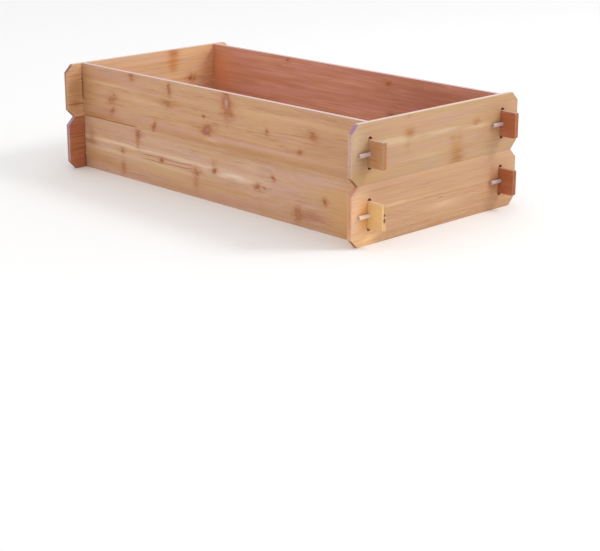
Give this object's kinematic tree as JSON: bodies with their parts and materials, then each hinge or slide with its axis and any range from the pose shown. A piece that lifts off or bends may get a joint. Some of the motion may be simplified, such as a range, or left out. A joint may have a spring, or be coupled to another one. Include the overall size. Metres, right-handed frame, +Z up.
{
  "type": "raised garden bed",
  "caption": "Rectangular two-course raised garden bed of cedar boards, open top and bottom, its corners joined by through tenons and dowel pegs.",
  "frame": {"origin": "middle of the footprint, on the ground that the lower boards' bottom edges rest on", "axes": "+X along the length of the bed, -Y out of the front side, +Z up"},
  "size_m": [1.219, 0.61, 0.298],
  "materials": {
    "lower_front_board": "planed cedar, unfinished",
    "lower_back_board": "planed cedar, unfinished",
    "lower_left_end_board": "planed cedar, unfinished",
    "lower_right_end_board": "planed cedar, unfinished",
    "upper_front_board": "planed cedar, unfinished",
    "upper_back_board": "planed cedar, unfinished",
    "upper_left_end_board": "planed cedar, unfinished",
    "upper_right_end_board": "planed cedar, unfinished",
    "peg": "turned dowel, unfinished"
  },
  "bodies": {
    "root": {"lower_front_board": "lower_front_board", "lower_back_board": "lower_back_board", "lower_left_end_board": "lower_left_end_board", "lower_right_end_board": "lower_right_end_board"},
    "upper_course": {"upper_front_board": "upper_front_board", "upper_back_board": "upper_back_board", "upper_left_end_board": "upper_left_end_board", "upper_right_end_board": "upper_right_end_board"},
    "lower_front_left_peg": {"lower_front_left_peg": "peg"},
    "lower_front_right_peg": {"lower_front_right_peg": "peg"},
    "lower_back_left_peg": {"lower_back_left_peg": "peg"},
    "lower_back_right_peg": {"lower_back_right_peg": "peg"},
    "upper_front_left_peg": {"upper_front_left_peg": "peg"},
    "upper_front_right_peg": {"upper_front_right_peg": "peg"},
    "upper_back_left_peg": {"upper_back_left_peg": "peg"},
    "upper_back_right_peg": {"upper_back_right_peg": "peg"}
  },
  "joints": [
    {"name": "upper_course_lift", "type": "slide", "parent": "root", "child": "upper_course", "axis": [0, 0, 1], "range_m": [0, 0.2]},
    {"name": "lower_front_left_peg_pull", "type": "slide", "parent": "root", "child": "lower_front_left_peg", "axis": [0, -1, 0], "range_m": [0, 0.052]},
    {"name": "lower_front_right_peg_pull", "type": "slide", "parent": "root", "child": "lower_front_right_peg", "axis": [0, -1, 0], "range_m": [0, 0.052]},
    {"name": "lower_back_left_peg_pull", "type": "slide", "parent": "root", "child": "lower_back_left_peg", "axis": [0, 1, 0], "range_m": [0, 0.052]},
    {"name": "lower_back_right_peg_pull", "type": "slide", "parent": "root", "child": "lower_back_right_peg", "axis": [0, 1, 0], "range_m": [0, 0.052]},
    {"name": "upper_front_left_peg_pull", "type": "slide", "parent": "upper_course", "child": "upper_front_left_peg", "axis": [0, -1, 0], "range_m": [0, 0.052]},
    {"name": "upper_front_right_peg_pull", "type": "slide", "parent": "upper_course", "child": "upper_front_right_peg", "axis": [0, -1, 0], "range_m": [0, 0.052]},
    {"name": "upper_back_left_peg_pull", "type": "slide", "parent": "upper_course", "child": "upper_back_left_peg", "axis": [0, 1, 0], "range_m": [0, 0.052]},
    {"name": "upper_back_right_peg_pull", "type": "slide", "parent": "upper_course", "child": "upper_back_right_peg", "axis": [0, 1, 0], "range_m": [0, 0.052]}
  ]
}
